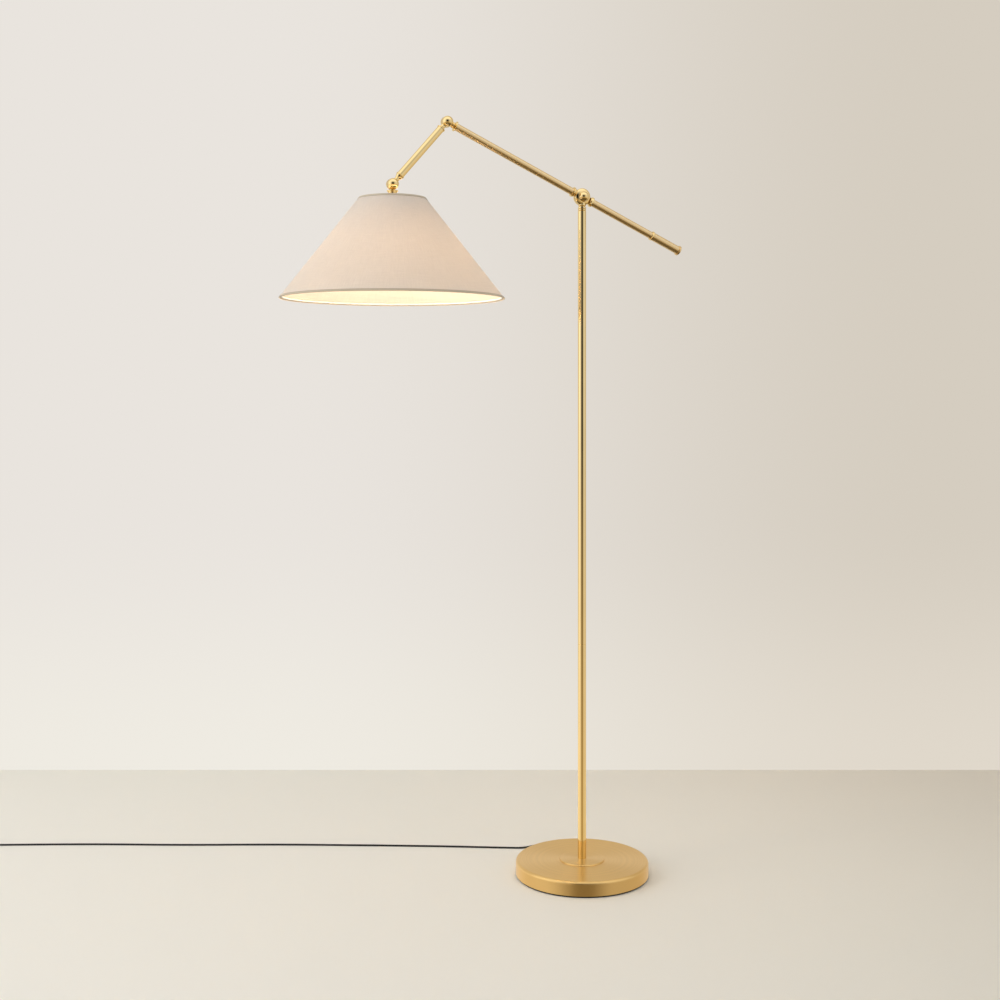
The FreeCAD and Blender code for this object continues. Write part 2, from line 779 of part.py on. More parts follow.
def fitter_nut():
    """Ring nut that holds the shade's frame up against the shell's shoulder."""
    low = shell_shoulder + fitter_thickness
    high = low + fitter_nut_height
    bore = shell_sleeve_radius + fit
    return turned((bore, low), (fitter_nut_radius, low), (fitter_nut_radius, high - soft_edge),
                  (fitter_nut_radius - soft_edge, high), (bore, high))


# ---------------------------------------------------------------- cord

def over_floor(along, aside, height):
    """A point of the cord's route: along its heading, to the far side of it, and above the floor."""
    heading = math.radians(cord_heading)
    ahead = V(math.cos(heading), math.sin(heading), 0)
    beside = V(math.sin(heading), -math.cos(heading), 0)
    return ahead * along + beside * aside + V(0, 0, height)


def swept(path, start, direction):
    """A round cord along a wire."""
    circle = Part.Wire(Part.Circle(start, direction, cord_radius).toShape())
    tube = path.makePipeShell([circle], True, False)
    print("  length %.1f, volume ratio %.4f" % (
        path.Length, tube.Volume / (math.pi * cord_radius ** 2 * path.Length)))
    return tube


def rounded(points):
    """Straight runs through the points, joined by arcs as large as each pair of runs allows."""
    edges, here = [], points[0]
    least = None
    for before, corner, after in zip(points, points[1:], points[2:]):
        run_in, run_out = corner - before, after - corner
        half_turn = run_in.getAngle(run_out) / 2
        reach = corner_share * min(run_in.Length, run_out.Length)
        radius = reach / math.tan(half_turn)
        least = min(radius, least or radius)
        start = corner - run_in.normalize() * reach
        end = corner + run_out.normalize() * reach
        inward = ((start + end) * 0.5 - corner).normalize()
        middle = corner + inward * (radius / math.cos(half_turn) - radius)
        edges.append(Part.LineSegment(here, start).toShape())
        edges.append(Part.Arc(start, middle, end).toShape())
        print("  radius %.0f at (%.0f, %.0f)" % (radius, corner.x, corner.y))
        here = end
    edges.append(Part.LineSegment(here, points[-1]).toShape())
    print("  least radius %.1f mm" % least)
    return Part.Wire(edges)


def gland_tip():
    return V(0, base_radius + gland_length, gland_height)


# The cord's route over the floor, chosen by eye: along, aside, height of its middle
free_route = [
    (79.4, 156.3, 7.4),
    (93.4, 157.0, 5.4),
    (111.0, 153.2, 3.1),
    (136.0, 150.9, cord_radius),
    (177.0, 152.4, cord_radius),
    (231.0, 156.4, cord_radius),
    (288.0, 159.7, cord_radius),
    (346.0, 162.2, cord_radius),
    (404.0, 164.6, cord_radius),
    (461.0, 165.9, cord_radius),
    (518.0, 167.9, cord_radius),
    (576.0, 169.3, cord_radius),
    (633.0, 169.8, cord_radius),
    (691.0, 169.3, cord_radius),
    (749.0, 168.2, cord_radius),
    (806.0, 168.0, cord_radius),
    (864.0, 168.9, cord_radius),
    (921.0, 170.6, cord_radius),
    (978.0, 171.6, cord_radius),
    (1035.0, 171.5, cord_radius),
    (1090.0, 170.3, cord_radius),
    (1141.0, 168.9, cord_radius),
    (1184.0, coil_aside, cord_radius),
]


def coil_points():
    """Where each half turn of the coil starts, and the way it runs there."""
    step = (cord_diameter + coil_gap) / 2
    rise = cord_diameter + coil_gap
    count = coil_half_turns_in + 1 + coil_half_turns_out
    outer = coil_inner_radius + step * coil_half_turns_in
    middle_along = coil_lead + cord_diameter
    middle_aside = coil_aside - outer
    places = []
    for i in range(count + 1):
        climbed = i > coil_half_turns_in
        turns_out = i - coil_half_turns_in - 1 if climbed else coil_half_turns_in - i
        radius = coil_inner_radius + step * turns_out
        if turns_out == 0:
            radius -= coil_tuck
        height = cord_radius + rise if climbed else cord_radius
        side = 1 if i % 2 == 0 else -1
        place = over_floor(middle_along, middle_aside + side * radius, height)
        way = over_floor(side, 0, 0)
        places.append((place, way))
    return places


def half_turn(start, start_way, end, end_way):
    """Two arcs that join two places in the coil, each tangent to its neighbours."""
    across_turn = end - start
    reach = across_turn.Length / 2
    joint = (start + end + (start_way - end_way) * reach) * 0.5
    arcs = []
    for here, way, there in ((start, start_way, joint), (joint, None, end)):
        if way is None:
            arcs.append(arc_from(there, end_way * -1, here, True))
        else:
            arcs.append(arc_from(here, way, there, False))
    return arcs


def arc_from(here, way, there, turned_back):
    """The arc that leaves here along way and ends there."""
    chord = there - here
    side = chord - way * chord.dot(way)
    side.normalize()
    radius = chord.dot(chord) / (2 * chord.dot(side))
    centre = here + side * radius
    out = (here + there) * 0.5 - centre
    out.normalize()
    middle = centre + out * radius
    if turned_back:
        return Part.Arc(there, middle, here)
    return Part.Arc(here, middle, there)


def cord_coil():
    """The spare cord, wound in to its smallest turn and out again in a second layer."""
    places = coil_points()
    first, first_way = places[0]
    last, last_way = places[-1]
    edges = [Part.LineSegment(first - first_way * cord_diameter, first).toShape()]
    for (start, start_way), (end, end_way) in zip(places, places[1:]):
        edges += [arc.toShape() for arc in half_turn(start, start_way, end, end_way)]
    edges.append(Part.LineSegment(last, last + last_way * cord_diameter).toShape())
    path = Part.Wire(edges)
    print("  least gap between turns %.2f mm" % least_gap(path))
    return swept(path, first - first_way * cord_diameter, first_way)


def least_gap(path):
    """Smallest distance between stretches of the path that aren't neighbours, less one diameter."""
    spacing = cord_radius
    points = path.discretize(Distance=spacing)
    apart = int(math.pi * cord_diameter / spacing) + 1
    cells = {}
    least = None
    for number, point in enumerate(points):
        cell = tuple(int(math.floor(c / (3 * cord_diameter))) for c in point)
        for x in (-1, 0, 1):
            for y in (-1, 0, 1):
                for z in (-1, 0, 1):
                    for other in cells.get((cell[0] + x, cell[1] + y, cell[2] + z), []):
                        if number - other > apart:
                            gap = point.distanceToPoint(points[other]) - cord_diameter
                            least = gap if least is None else min(least, gap)
        cells.setdefault(cell, []).append(number)
    return least


def coil_start():
    place, way = coil_points()[0]
    return place - way * cord_diameter


def coil_end():
    place, way = coil_points()[-1]
    return place + way * cord_diameter


def plug_place():
    """Where the cord enters the plug's boot."""
    end = coil_end()
    return V(end.x, end.y, plug_axis_height) + over_floor(plug_gap, 0, 0)


def cord_tail():
    """From the coil's last turn to the plug."""
    start, end = coil_end(), plug_place()
    level = V(end.x - start.x, end.y - start.y, 0) * (1 / 3)
    points = [start, start + level, end - level, end]
    return swept(rounded(points), points[0], points[1] - points[0])


def aimed(shape, place):
    """Point a shape that was made along +X down the cord's heading."""
    placed = shape.copy()
    placed.Placement = FreeCAD.Placement(place, FreeCAD.Rotation(UP, cord_heading))
    return placed


def plug_body():
    """Moulded two-pin plug: a tapered boot, a waisted grip and a rounded nose."""
    boot = Part.makeCone(cord_radius + plug_boot_lip, plug_boot_radius, plug_boot_length, V(), V(1, 0, 0))
    sections = [rounded_box(plug_boot_length, plug_neck_width, plug_neck_height),
                rounded_box(plug_boot_length + plug_grip_length, plug_width, plug_height),
                rounded_box(plug_boot_length + plug_length, plug_width, plug_height)]
    return boot.fuse(Part.makeLoft(sections, True, True))


def rounded_box(at, width, height):
    """A rectangle with rounded corners, square to X."""
    y, z = width / 2 - plug_round, height / 2 - plug_round
    corners = []
    for side, top, start in ((y, z, 0), (-y, z, 90), (-y, -z, 180), (y, -z, 270)):
        arc = []
        for turn in (0, 45, 90):
            a = math.radians(start + turn)
            arc.append(V(at, side + plug_round * math.cos(a), top + plug_round * math.sin(a)))
        corners.append(arc)
    edges = []
    for corner, following in zip(corners, corners[1:] + corners[:1]):
        edges.append(Part.Arc(*corner).toShape())
        edges.append(Part.LineSegment(corner[-1], following[0]).toShape())
    return Part.Wire(edges)


def plug_pins():
    """Two flat blades."""
    pins = []
    nose = plug_boot_length + plug_length
    for side in (-1, 1):
        pins.append(Part.makeBox(blade_length, blade_width, blade_height,
                                 V(nose, side * blade_pitch / 2 - blade_width / 2, -blade_height / 2)))
    return Part.makeCompound(pins)


# ---------------------------------------------------------------- the pieces, body by body

def make_root():
    save("base_cover", base_cover())
    save("base_weight", base_weight())
    save("base_pad", base_pad())
    save("foot_plate", foot_plate())
    save("base_rod", base_rod())
    save("rod_washer", ring(rod_washer_radius, rod_radius + fit, rod_nut_top, well_top))
    save("rod_nut", hexagon(rod_nut_flats, rod_radius + fit, rod_nut_top - rod_nut_height, rod_nut_top))
    save("pole_foot_bush", pole_foot_bush())
    save("pole_lower_tube", pole_section(pole_foot, pole_joint_height))
    save("pole_upper_tube", pole_section(pole_top, pole_joint_height))
    save("pole_coupling", pole_coupling())
    save("pole_cap", pole_cap())
    save("cord_gland", cord_gland())
    save("inner_lead", inner_lead())


def make_cord():
    straight_out = V(0, gland_straight, 0)
    route = [gland_tip(), gland_tip() + straight_out]
    route += [over_floor(*point) for point in free_route] + [coil_start()]
    save("cord_run", swept(rounded(route), route[0], route[1] - route[0]))
    save("cord_coil", cord_coil())
    save("cord_tail", cord_tail())
    save("plug_body", aimed(plug_body(), plug_place()))
    save("plug_pins", aimed(plug_pins(), plug_place()))


def make_swivel():
    save("swivel_neck", put(near(hub_half(True, neck_stem())), pivot, DOWN))
    save("thrust_washer", ring(neck_radius, neck_spigot_radius + fit, cap_top, neck_foot))
    save("spring_washer", ring(pole_bore - play, neck_spigot_radius + fit, spigot_nut_top, cap_bottom))
    save("spigot_nut", hexagon(spigot_nut_flats, neck_spigot_radius + fit,
                               spigot_nut_top - spigot_nut_height, spigot_nut_top))
    save("pivot_screw", put(knuckle_screw(hub_screw_radius, hub_depth), pivot))
    save("pivot_disc", put(friction_washer(hub_radius, hub_screw_radius), pivot))


def make_arm():
    down_stem = hub_stem()
    up_stem = down_stem.copy()
    up_stem.rotate(V(), HINGE, 180)
    save("arm_hub", put(hub_half(False, down_stem.fuse(up_stem)), pivot, TO_ELBOW))
    front_end = arm_reach - elbow_tube_end
    save("arm_front_tube", put(ring(arm_radius, arm_bore, hub_tube_start, front_end), pivot, TO_ELBOW))
    rear_end = grip_end - tube_end_in_grip
    save("arm_rear_tube", put(ring(arm_radius, arm_bore, hub_tube_start, rear_end), pivot, TO_GRIP))
    save("arm_lead", put(rod(cord_radius, lead_stop + hub_radius, arm_reach - lead_stop - ball_radius),
                         pivot, TO_ELBOW))
    save("grip_ring", put(grip_ring(), pivot, TO_GRIP))
    save("grip_sleeve", put(ring(grip_radius, arm_radius + fit, grip_start, grip_end), pivot, TO_GRIP))
    save("grip_cap", put(grip_cap(), pivot, TO_GRIP))
    half = ball_half(True, ball_stem(elbow_flange_at, elbow_flange_radius, True))
    save("elbow_arm_half", put(near(half), elbow, TO_GRIP))
    save("elbow_screw", put(knuckle_screw(ball_screw_radius, ball_depth), elbow))
    save("elbow_disc", put(friction_washer(ball_radius, ball_screw_radius), elbow))


def grip_ring():
    """Rounded ring at the front of the grip."""
    low, high = grip_start - grip_ring_width, grip_start
    outer, edge = grip_ring_radius, soft_edge
    bore = arm_radius + fit
    return turned((bore, low), (outer - edge, low), (outer, low + edge), (outer, high - edge),
                  (outer - edge, high), (bore, high))


def grip_cap():
    """End cap of the grip: a rim, a low crown and a spigot in the tube."""
    low = grip_end
    rim = low + grip_cap_rim
    crown = low + grip_cap_crown
    bottom = low - tube_end_in_grip - grip_cap_spigot
    bore_fit = arm_bore - fit
    sleeve_fit = arm_radius - fit
    edge = soft_edge
    tube_end = low - tube_end_in_grip
    return turned(
        (0, bottom), (bore_fit, bottom), (bore_fit, tube_end), (sleeve_fit, tube_end), (sleeve_fit, low),
        (grip_cap_radius, low), (grip_cap_radius, rim - edge), (grip_cap_radius - edge, rim),
        (crowned(grip_cap_radius - edge, rim, crown), (0, crown)))


def make_link():
    top = ball_half(False, ball_stem(link_top_collar_at, link_collar_radius, False))
    save("elbow_link_half", put(top, elbow, DOWN_LINK))
    tube_end = link_length - link_tube_end
    save("link_tube", put(ring(arm_radius, arm_bore, link_tube_start, tube_end), elbow, DOWN_LINK))
    reach = lead_stop + ball_radius
    save("link_lead", put(rod(cord_radius, reach, link_length - reach), elbow, DOWN_LINK))
    low = ball_half(True, ball_stem(link_low_collar_at, link_collar_radius, False))
    save("shade_link_half", put(near(low), shade_joint, UP_LINK))
    save("shade_screw", put(knuckle_screw(ball_screw_radius, ball_depth), shade_joint))
    save("shade_disc", put(friction_washer(ball_radius, ball_screw_radius), shade_joint))


def make_head():
    nut_top = head_stem_end + socket_cap_wall
    pieces = {
        "shade_head_half": ball_half(False, head_stem()),
        "socket_cap": socket_cap(),
        "cap_nut": hexagon(cap_nut_flats, head_nipple_radius + fit, nut_top, nut_top + cap_nut_height),
        "socket_shell": socket_shell(),
        "socket_core": socket_core(),
        "screw_shell": screw_shell(),
        "socket_liner": socket_liner(),
        "fitter_nut": fitter_nut(),
        "shade_frame": shade_frame(),
        "shade_rim_wire": wire_ring(shade_drop + shade_height - ring_wire_radius - wire_tuck),
        "shade_skin": shade_skin(),
        "bulb_cap": bulb_cap(),
        "bulb_glass": bulb_glass(),
        "switch_knob": switch_knob(),
    }
    for name, shape in pieces.items():
        save(name, put(shape, shade_joint, DOWN))


os.makedirs("parts", exist_ok=True)
make_root()
make_cord()
make_swivel()
make_arm()
make_link()
make_head()
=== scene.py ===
import json
import math

import bpy
from bpy.props import FloatProperty, FloatVectorProperty, IntProperty, PointerProperty
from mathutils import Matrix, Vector


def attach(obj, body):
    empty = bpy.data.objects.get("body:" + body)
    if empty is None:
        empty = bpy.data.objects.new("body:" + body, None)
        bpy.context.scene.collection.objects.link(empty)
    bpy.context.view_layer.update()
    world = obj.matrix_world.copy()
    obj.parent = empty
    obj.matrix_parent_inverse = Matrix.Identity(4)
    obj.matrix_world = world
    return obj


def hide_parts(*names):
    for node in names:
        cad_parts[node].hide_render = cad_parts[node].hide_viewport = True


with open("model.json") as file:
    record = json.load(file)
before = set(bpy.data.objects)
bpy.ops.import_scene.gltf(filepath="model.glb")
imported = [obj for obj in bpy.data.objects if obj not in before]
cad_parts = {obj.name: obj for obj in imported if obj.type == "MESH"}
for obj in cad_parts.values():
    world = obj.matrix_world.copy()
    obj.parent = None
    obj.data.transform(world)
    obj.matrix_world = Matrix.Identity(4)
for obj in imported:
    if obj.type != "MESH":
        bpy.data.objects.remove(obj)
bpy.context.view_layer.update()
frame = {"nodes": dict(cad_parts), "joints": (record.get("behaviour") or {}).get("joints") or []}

bl_info = {
    "name": "Bridge floor lamp",
    "version": (1, 0, 0),
    "blender": (4, 5, 0),
    "location": "View3D > Sidebar > Floor lamp",
    "description": "Linen shade, cord, metal finishes and a plain stage for a bridge floor lamp",
    "category": "Add Mesh",
}

# Metres, +Z up. The arm lies in the XZ plane with its shade end towards -X, and the camera looks
# at it from the -Y side.


# ---------------------------------------------------------------- sizes and colours

class LampFinishes(bpy.types.PropertyGroup):
    polished: FloatVectorProperty(
        name="Polished brass", description="Colour of the pole, the link and the knuckles",
        subtype="COLOR", default=(0.88, 0.67, 0.32), min=0, max=1)
    satin: FloatVectorProperty(
        name="Satin brass", description="Colour of the arm and the grip",
        subtype="COLOR", default=(0.86, 0.65, 0.35), min=0, max=1)
    spun: FloatVectorProperty(
        name="Spun brass", description="Colour of the base and the foot plate",
        subtype="COLOR", default=(0.84, 0.56, 0.215), min=0, max=1)
    linen: FloatVectorProperty(
        name="Linen", description="Colour of the shade's cloth",
        subtype="COLOR", default=(0.89, 0.86, 0.81), min=0, max=1)
    tape: FloatVectorProperty(
        name="Tape", description="Colour of the tape folded over the shade's two edges",
        subtype="COLOR", default=(0.62, 0.53, 0.40), min=0, max=1)
    lining: FloatVectorProperty(
        name="Lining", description="Colour of the smooth backing inside the shade",
        subtype="COLOR", default=(0.92, 0.90, 0.86), min=0, max=1)
    cord: FloatVectorProperty(
        name="Cord", description="Colour of the cord and the leads inside",
        subtype="COLOR", default=(0.012, 0.011, 0.010), min=0, max=1)
    through: FloatProperty(
        name="Through", description="Share of light that passes one face of the shade's sheet", default=0.36,
        min=0, max=1, subtype="FACTOR")
    glow: FloatVectorProperty(
        name="Glow", description="Colour of the bulb's light",
        subtype="COLOR", default=(1.0, 0.74, 0.50), min=0, max=1)
    warmth: FloatVectorProperty(
        name="Warmth", description="Tint that light takes on its way through the linen",
        subtype="COLOR", default=(1.0, 0.90, 0.76), min=0, max=1)
    polished_roughness: FloatProperty(
        name="Polish", description="Roughness of the polished brass",
        default=0.07, min=0, max=1, subtype="FACTOR")
    satin_roughness: FloatProperty(
        name="Brushing", description="Roughness of the satin brass",
        default=0.34, min=0, max=1, subtype="FACTOR")


class ShadeSizes(bpy.types.PropertyGroup):
    drop: FloatProperty(
        name="Drop", description="Shade joint down to the top of the shade", default=0.025, unit="LENGTH")
    height: FloatProperty(name="Height", description="Height of the shade", default=0.181, unit="LENGTH")
    top_radius: FloatProperty(
        name="Top radius", description="Radius of the shade at its top", default=0.060, unit="LENGTH")
    rim_radius: FloatProperty(
        name="Rim radius", description="Radius of the shade at its rim", default=0.202, unit="LENGTH")
    cloth: FloatProperty(
        name="Cloth", description="Thickness of the linen and its backing", default=0.0007, unit="LENGTH")
    tape_width: FloatProperty(
        name="Tape width", description="Width of the tape that shows at each edge",
        default=0.0032, unit="LENGTH")
    tape_thickness: FloatProperty(
        name="Tape thickness", description="How far the tape stands off the cloth",
        default=0.0006, unit="LENGTH")
    thread: FloatProperty(
        name="Thread", description="Distance from one thread to the next", default=0.0007, unit="LENGTH")
    sides: IntProperty(
        name="Sides", description="Straight sides in a full turn of the cloth",
        default=192, min=24)


class CordSizes(bpy.types.PropertyGroup):
    diameter: FloatProperty(
        name="Diameter", description="Thickness of the cord",
        default=0.0036, unit="LENGTH")
    length: FloatProperty(
        name="Length", description="Length of the cord from the gland to the plug",
        default=2.38, unit="LENGTH")


class StageLight(bpy.types.PropertyGroup):
    world: FloatProperty(
        name="World", description="Strength of the even light from all round",
        default=0.30, min=0)
    key: FloatProperty(
        name="Key", description="Power of the large soft lamp on the left", default=46.0, min=0, unit="POWER")
    fill: FloatProperty(
        name="Fill", description="Power of the large soft lamp on the right",
        default=5.0, min=0, unit="POWER")
    top: FloatProperty(
        name="Top", description="Power of the soft lamp overhead", default=27.0, min=0, unit="POWER")
    bulb: FloatProperty(
        name="Bulb", description="Power of the lamp's own bulb",
        default=2.2, min=0, unit="POWER")
    bright_side: FloatProperty(
        name="Bright side", description="How bright the studio's left side shows in polished metal",
        default=1.5, min=0)
    overhead: FloatProperty(
        name="Overhead", description="How bright the studio's ceiling shows in polished metal",
        default=1.3, min=0)
    boards: FloatVectorProperty(
        name="Boards", description="Colour of the studio's own floor in polished metal",
        subtype="COLOR", default=(0.50, 0.38, 0.20), min=0, max=1)
    dim_side: FloatProperty(
        name="Dim side", description="How bright the studio's right side shows in polished metal",
        default=0.85, min=0)


# ---------------------------------------------------------------- places

joints = {joint["name"]: Vector(joint["pos_m"]) for joint in frame["joints"]}
shade_joint = joints["shade_tilt"]
elbow = joints["elbow_bend"]
pivot = joints["arm_tilt"]
arm_slope = math.atan2(elbow.z - pivot.z, pivot.x - elbow.x)
smooth_angle = math.radians(40)    # edges sharper than this stay sharp
weld = 1e-6                        # corners nearer than this are one
view_turn = math.radians(25)       # the camera stands this far round from straight in front
cord_heading = math.radians(155)   # the way the cord runs off over the floor
bulb_drop = 0.1288                 # shade joint down to the middle of the bulb
bulb_glow_drop = 0.172             # and to the light that it throws, just under its tip
bulb_glow_aside = (0.010, -0.006)  # and that light's place beside the axis, as the camera sees it
bulb_glow_radius = 0.022
edge_inset = 0.0004                # the linen's edge to the end of the tape that covers it
# Painted shade on the shade's top: the cloth passes less of the bulb's light near the bulb and all of it
# lower down, so its glow looks even.
even_from, even_to = 0.0252, 0.2499  # down the shade's slope, where its glow evens out, and where it is full
painted_top_shade_share = 0.58                  # what is left of the glow near the bulb, at the top


def seen_from_camera(right, deep, up):
    """A place in the picture's own directions, from the foot of the pole."""
    c, s = math.cos(view_turn), math.sin(view_turn)
    return Vector((right * c + deep * s, -right * s + deep * c, up))


def deselect():
    if bpy.context.object and bpy.context.object.mode != "OBJECT":
        bpy.ops.object.mode_set(mode="OBJECT")
    bpy.ops.object.select_all(action="DESELECT")


def named(name):
    """The primitive that was just added, under its own name."""
    made = bpy.context.object
    made.name = made.data.name = name
    return made


def settle(piece):
    """Move a piece's place, turn and size into its mesh."""
    deselect()
    piece.select_set(True)
    bpy.context.view_layer.objects.active = piece
    bpy.ops.object.transform_apply(location=True, rotation=True, scale=True)
    return piece


def finish_mesh(piece):
    """Close doubles, turn faces outwards and smooth all but the sharp edges."""
    settle(piece)
    bpy.ops.object.mode_set(mode="EDIT")
    bpy.ops.mesh.select_all(action="SELECT")
    bpy.ops.mesh.remove_doubles(threshold=weld)
    bpy.ops.mesh.normals_make_consistent(inside=False)
    bpy.ops.object.mode_set(mode="OBJECT")
    bpy.ops.object.shade_smooth_by_angle(angle=smooth_angle)
    return piece


def modify(piece, kind, **settings):
    """Add a modifier, set it and apply it."""
    deselect()
    piece.select_set(True)
    bpy.context.view_layer.objects.active = piece
    modifier = piece.modifiers.new(kind.title(), kind)
    for key, value in settings.items():
        setattr(modifier, key, value)
    bpy.ops.object.modifier_apply(modifier=modifier.name)
    return piece


def wear(piece, *materials):
    """Give a new piece its materials; faces keep their slot numbers."""
    piece.data.materials.clear()
    for material in materials:
        piece.data.materials.append(material)


def dress(material, *nodes):
    """Give CAD nodes a finish."""
    for node in nodes:
        for holder in frame["nodes"][node].material_slots:
            holder.material = material


# ---------------------------------------------------------------- materials

class Nodes:
    """A node tree being built up."""

    def __init__(self, tree):
        self.tree = tree

    def add(self, kind, **settings):
        """A node with its own settings, not those of its inputs."""
        node = self.tree.nodes.new(kind)
        for key, value in settings.items():
            setattr(node, key, value)
        return node

    def feed(self, socket, value):
        """Link an output to an input, or set the input to a value."""
        if isinstance(value, bpy.types.NodeSocket):
            self.tree.links.new(value, socket)
        else:
            socket.default_value = value

    def maths(self, operation, *values):
        node = self.add("ShaderNodeMath", operation=operation)
        for socket, value in zip(node.inputs, values):
            self.feed(socket, value)
        return node.outputs[0]

    def vectors(self, operation, *values):
        node = self.add("ShaderNodeVectorMath", operation=operation)
        for socket, value in zip(node.inputs, values):
            self.feed(socket, value)
        return node.outputs["Value" if operation == "DOT_PRODUCT" else "Vector"]

    def turn(self, vector, axis, angle):
        node = self.add("ShaderNodeVectorRotate", rotation_type=axis)
        self.feed(node.inputs["Vector"], vector)
        node.inputs["Angle"].default_value = angle
        return node.outputs[0]

    def apart(self, vector):
        node = self.add("ShaderNodeSeparateXYZ")
        self.feed(node.inputs[0], vector)
        return node.outputs

    def noise(self, vector, size, detail=3.0):
        """Cloudy noise whose lumps are about size metres across."""
        node = self.add("ShaderNodeTexNoise")
        self.feed(node.inputs["Vector"], vector)
        node.inputs["Scale"].default_value = 1 / size
        node.inputs["Detail"].default_value = detail
        node.inputs["Roughness"].default_value = 0.55
        return node.outputs["Fac"]

    def streaks(self, value, size):
        """Noise along one value only, as brushing leaves it."""
        node = self.add("ShaderNodeTexNoise", noise_dimensions="1D")
        self.feed(node.inputs["W"], value)
        node.inputs["Scale"].default_value = 1 / size
        node.inputs["Detail"].default_value = 4.0
        return node.outputs["Fac"]

    def spread(self, value, low, high, start=0.3, end=0.7, kind="LINEAR"):
        """Map a span, at first a texture's usual one, to low..high."""
        node = self.add("ShaderNodeMapRange", interpolation_type=kind)
        self.feed(node.inputs["Value"], value)
        node.inputs["From Min"].default_value = start
        node.inputs["From Max"].default_value = end
        node.inputs["To Min"].default_value = low
        node.inputs["To Max"].default_value = high
        return node.outputs["Result"]

    def blend(self, factor, one, other):
        """Mix two colours."""
        node = self.add("ShaderNodeMix", data_type="RGBA")
        self.feed(node.inputs["Factor"], factor)
        self.feed(node.inputs["A"], one)
        self.feed(node.inputs["B"], other)
        return node.outputs["Result"]

    def mixed(self, factor, one, other):
        """Mix two shaders."""
        node = self.add("ShaderNodeMixShader")
        self.feed(node.inputs[0], factor)
        self.feed(node.inputs[1], one)
        self.feed(node.inputs[2], other)
        return node.outputs[0]


class Finish(Nodes):
    """A material being built up round its Principled BSDF."""

    def __init__(self, name):
        self.material = bpy.data.materials.new(name)
        self.material.use_nodes = True
        super().__init__(self.material.node_tree)
        self.shader = self.tree.nodes["Principled BSDF"]
        self.where = self.add("ShaderNodeTexCoord").outputs["Object"]

    def bump(self, height, depth, strength):
        node = self.add("ShaderNodeBump")
        node.inputs["Strength"].default_value = strength
        node.inputs["Distance"].default_value = depth
        self.feed(node.inputs["Height"], height)
        self.feed(self.shader.inputs["Normal"], node.outputs["Normal"])
        return node.outputs["Normal"]

    def set(self, **values):
        """Set the shader's inputs; _ stands for a space."""
        for key, value in values.items():
            self.feed(self.shader.inputs[key.replace("_", " ")], value)

    def show(self, surface):
        """Use another shader than the Principled BSDF alone."""
        self.feed(self.tree.nodes["Material Output"].inputs["Surface"], surface)


def shaded(colour, share):
    return tuple(channel * share for channel in colour) + (1.0,)


def polished_brass(name):
    """Mirror-bright lacquered brass with the faintest cloudiness."""
    look = bpy.context.scene.lamp_finishes
    finish = Finish(name)
    cloud = finish.noise(finish.where, 0.03)
    colour = finish.blend(finish.spread(cloud, 0, 1), shaded(look.polished, 0.96), shaded(look.polished, 1.0))
    rough = look.polished_roughness
    finish.set(Base_Color=colour, Metallic=1.0, Roughness=finish.spread(cloud, rough * 0.85, rough * 1.2))
    return finish.material


def turned_brass(name):
    """Satin brass brushed in circles round the pole's axis."""
    look = bpy.context.scene.lamp_finishes
    finish = Finish(name)
    x, y, z = finish.apart(finish.where)
    squares = finish.maths("ADD", finish.maths("MULTIPLY", x, x), finish.maths("MULTIPLY", y, y))
    out = finish.maths("SQRT", squares)
    groove = finish.streaks(finish.maths("ADD", out, finish.maths("MULTIPLY", z, 1.7)), 0.0012)
    broad = finish.streaks(out, 0.006)
    colour = finish.blend(finish.spread(broad, 0, 1), shaded(look.spun, 0.95), shaded(look.spun, 1.0))
    rough = look.satin_roughness
    finish.set(Base_Color=colour, Metallic=1.0, Roughness=finish.spread(groove, rough * 0.9, rough * 1.12),
               Anisotropic=0.85, Anisotropic_Rotation=0.25)
    tangent = finish.add("ShaderNodeTangent", direction_type="RADIAL", axis="Z")
    finish.feed(finish.shader.inputs["Tangent"], tangent.outputs[0])
    finish.bump(groove, 0.00001, 0.3)
    return finish.material


def drawn_brass(name):
    """Satin brass tube brushed round the arm's sloping axis."""
    look = bpy.context.scene.lamp_finishes
    finish = Finish(name)
    placed = finish.vectors("SUBTRACT", finish.where, pivot)
    along = finish.apart(finish.turn(placed, "Y_AXIS", arm_slope))[0]
    wobble = finish.maths("MULTIPLY", finish.noise(finish.where, 0.012), 0.0012)
    groove = finish.streaks(finish.maths("ADD", along, wobble), 0.0016)
    broad = finish.noise(finish.where, 0.03)
    colour = finish.blend(finish.spread(broad, 0, 1), shaded(look.satin, 0.95), shaded(look.satin, 1.0))
    rough = look.satin_roughness
    finish.set(Base_Color=colour, Metallic=1.0, Roughness=finish.spread(groove, rough * 0.92, rough * 1.1))
    finish.bump(groove, 0.000006, 0.25)
    return finish.material


def bright_steel(name):
    finish = Finish(name)
    cloud = finish.noise(finish.where, 0.004)
    colour = finish.blend(finish.spread(cloud, 0, 1), (0.55, 0.55, 0.54, 1), (0.66, 0.66, 0.64, 1))
    finish.set(Base_Color=colour,
               Metallic=1.0, Roughness=finish.spread(cloud, 0.22, 0.34))
    return finish.material


def cast_iron(name):
    finish = Finish(name)
    grain = finish.noise(finish.where, 0.0016, 6.0)
    colour = finish.blend(finish.spread(grain, 0, 1), (0.035, 0.034, 0.033, 1), (0.07, 0.068, 0.065, 1))
    finish.set(Base_Color=colour,
               Metallic=0.6, Roughness=finish.spread(grain, 0.55, 0.75))
    finish.bump(grain, 0.0004, 0.6)
    return finish.material


def matt_black(name, colour, grain_size, roughness):
    """Rubber or moulded plastic with a fine grain."""
    finish = Finish(name)
    grain = finish.noise(finish.where, grain_size, 2.0)
    tint = finish.blend(finish.spread(grain, 0, 1), shaded(colour, 0.85), shaded(colour, 1.25))
    finish.set(Base_Color=tint, Roughness=finish.spread(grain, roughness * 0.9, roughness * 1.15))
    finish.bump(grain, grain_size * 0.1, 0.35)
    return finish.material


